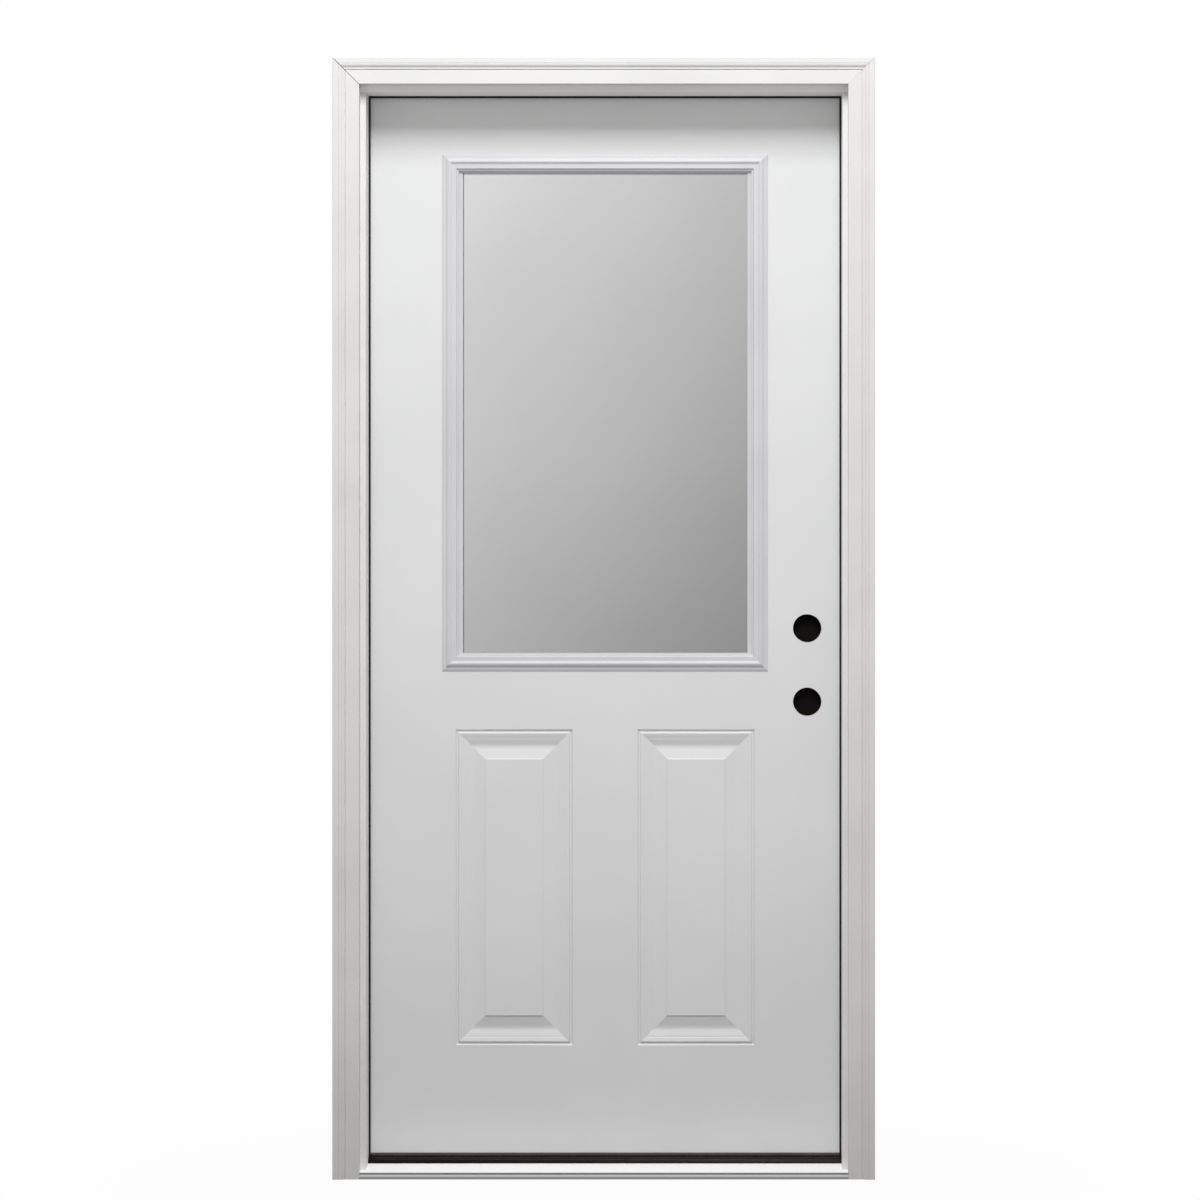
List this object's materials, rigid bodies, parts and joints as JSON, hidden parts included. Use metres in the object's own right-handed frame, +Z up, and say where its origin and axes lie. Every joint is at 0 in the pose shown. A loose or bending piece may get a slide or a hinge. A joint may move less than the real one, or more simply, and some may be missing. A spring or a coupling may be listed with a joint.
{
  "type": "half-lite steel front door unit",
  "caption": "Prehung inswing steel front door: a half-lite leaf with pressed panels and glass, in a rabbeted jamb with brickmould and a sloped sill.",
  "frame": {"origin": "on the sill's underside, in the middle of the unit's width, in the plane of the jambs' outside edges", "axes": "+X to the right seen from outside, +Y into the house, +Z up"},
  "size_m": [1.019, 0.1629, 2.108],
  "materials": {
    "primed_jamb": "white factory primer, satin",
    "primed_brickmould": "white factory primer, satin",
    "sill_core": "bare composite",
    "sill_deck": "mill finish, brushed",
    "sill_cap": "dark bronze, matt",
    "weatherstrip": "dark bronze, soft",
    "primed_steel": "white primer, satin",
    "stile_wood": "bare pine",
    "rail_wood": "bare pine",
    "foam": "rigid foam",
    "lite_frame": "moulded, satin white",
    "glass": "clear float",
    "spacer": "mill finish",
    "sweep": "dark brown, soft",
    "hinge_steel": "satin plated"
  },
  "bodies": {
    "frame": {"hinge_jamb": "primed_jamb", "strike_jamb": "primed_jamb", "head_jamb": "primed_jamb", "brickmould_left": "primed_brickmould", "brickmould_right": "primed_brickmould", "brickmould_head": "primed_brickmould", "sill_core": "sill_core", "sill_deck": "sill_deck", "sill_cap": "sill_cap", "weatherstrip_left": "weatherstrip", "weatherstrip_right": "weatherstrip", "weatherstrip_head": "weatherstrip", "hinge_top_frame_leaf": "hinge_steel", "hinge_top_pin": "hinge_steel", "hinge_middle_frame_leaf": "hinge_steel", "hinge_middle_pin": "hinge_steel", "hinge_bottom_frame_leaf": "hinge_steel", "hinge_bottom_pin": "hinge_steel"},
    "door": {"exterior_skin": "primed_steel", "interior_skin": "primed_steel", "hinge_stile": "stile_wood", "lock_stile": "stile_wood", "lock_block": "stile_wood", "bottom_rail": "rail_wood", "top_rail": "rail_wood", "foam_core": "foam", "lite_frame_exterior": "lite_frame", "lite_frame_interior": "lite_frame", "glass_exterior": "glass", "glass_interior": "glass", "glass_spacer": "spacer", "door_sweep": "sweep", "hinge_top_door_leaf": "hinge_steel", "hinge_middle_door_leaf": "hinge_steel", "hinge_bottom_door_leaf": "hinge_steel"}
  },
  "joints": [
    {"name": "door_swing", "type": "hinge", "parent": "frame", "child": "door", "pos_m": [-0.45675, 0.124, 1], "axis": [0, 0, 1], "range_deg": [0, 110]}
  ]
}
